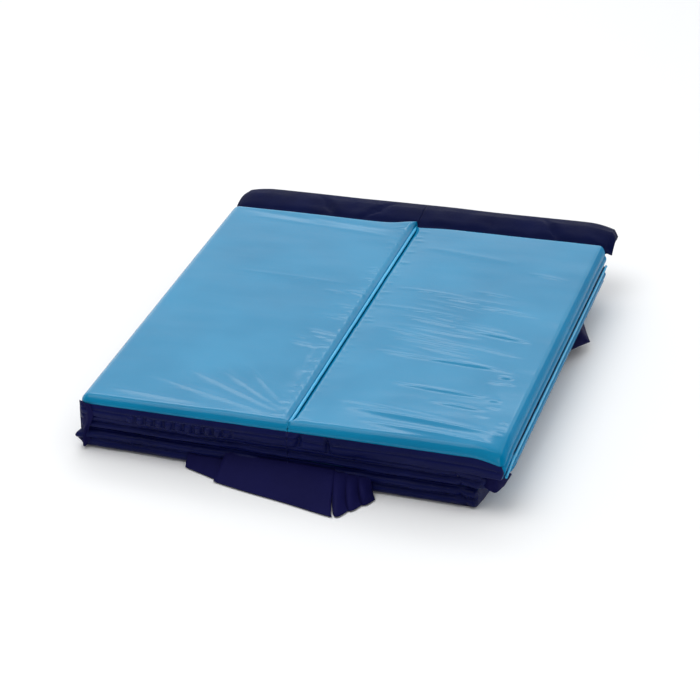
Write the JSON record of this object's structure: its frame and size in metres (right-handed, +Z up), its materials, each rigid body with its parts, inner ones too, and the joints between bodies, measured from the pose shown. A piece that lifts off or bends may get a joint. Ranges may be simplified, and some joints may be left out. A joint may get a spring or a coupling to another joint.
{
  "type": "folding gym mat",
  "caption": "Folded padded gym mat: foam panels in glossy blue film and navy cloth covers, stacked in layers, with loose cloth flaps.",
  "frame": {"origin": "centre of the underside of the bottom layer, on the floor", "axes": "+Z up, +X to the right along the stack's front edge, +Y from the front to the back, so the front faces -Y"},
  "size_m": [0.6121, 0.7652, 0.0878],
  "materials": {
    "blue_film": "glossy light-blue PVC film, slightly wrinkled",
    "blue_seam": "welded film seam",
    "navy_cloth": "coated navy cloth, soft sheen, gathered",
    "navy_seam": "stitched navy seam",
    "navy_flap": "smooth matte navy cloth",
    "foam": "closed-cell foam, matte"
  },
  "bodies": {
    "bottom_layer": {"foam_core_5": "foam", "foam_core_6": "foam", "film_lid_5": "blue_film", "film_lid_6": "blue_film", "boxing_5": "navy_cloth", "boxing_6": "navy_cloth", "base_sheet_bottom": "navy_cloth", "centre_seam_bottom": "blue_seam", "left_edge_seam": "navy_seam"},
    "middle_layer": {"foam_core_3": "foam", "foam_core_4": "foam", "film_lid_3": "blue_film", "film_lid_4": "blue_film", "boxing_3": "navy_cloth", "boxing_4": "navy_cloth", "base_sheet_middle": "navy_cloth", "centre_seam_middle": "blue_seam", "right_edge_seam": "blue_seam"},
    "top_right_panel": {"foam_core_2": "foam", "film_lid_2": "blue_film", "boxing_2": "navy_cloth", "base_sheet_top_right": "navy_cloth", "centre_seam_top": "blue_seam", "right_corner_flap": "navy_flap"},
    "top_left_panel": {"foam_core_1": "foam", "film_lid_1": "blue_film", "boxing_1": "navy_cloth", "base_sheet_top_left": "navy_cloth", "left_corner_flap": "navy_flap"},
    "rear_flap_right": {"rear_flap_right": "navy_flap"},
    "rear_flap_left": {"rear_flap_left": "navy_flap"},
    "front_flap": {"front_flap_leaf": "navy_flap", "front_flap_under_leaf": "navy_flap", "front_flap_pleat_1": "navy_flap", "front_flap_pleat_2": "navy_flap", "front_flap_pleat_3": "navy_flap"},
    "side_flap": {"side_flap": "navy_flap"}
  },
  "joints": [
    {"name": "left_edge_fold", "type": "hinge", "parent": "bottom_layer", "child": "middle_layer", "pos_m": [-0.3015, 0, 0.0292], "axis": [0, -1, 0], "range_deg": [0, 180]},
    {"name": "right_edge_fold", "type": "hinge", "parent": "middle_layer", "child": "top_right_panel", "pos_m": [0.3015, 0, 0.0586], "axis": [0, 1, 0], "range_deg": [0, 180]},
    {"name": "top_centre_fold", "type": "hinge", "parent": "top_right_panel", "child": "top_left_panel", "pos_m": [0, 0, 0.0823], "axis": [0, 1, 0], "range_deg": [0, 110]},
    {"name": "rear_flap_right_lift", "type": "hinge", "parent": "top_right_panel", "child": "rear_flap_right", "pos_m": [0.156, 0.3235, 0.0885], "axis": [1, 0, 0], "range_deg": [0, 180]},
    {"name": "rear_flap_left_lift", "type": "hinge", "parent": "top_left_panel", "child": "rear_flap_left", "pos_m": [-0.156, 0.3235, 0.0885], "axis": [1, 0, 0], "range_deg": [0, 180]},
    {"name": "front_flap_lift", "type": "hinge", "parent": "bottom_layer", "child": "front_flap", "pos_m": [-0.014, -0.322, 0.0265], "axis": [-1, 0, 0], "range_deg": [0, 95]},
    {"name": "side_flap_lift", "type": "hinge", "parent": "bottom_layer", "child": "side_flap", "pos_m": [0.2735, 0.15, 0.0235], "axis": [0, -1, 0], "range_deg": [-20, 14]}
  ]
}
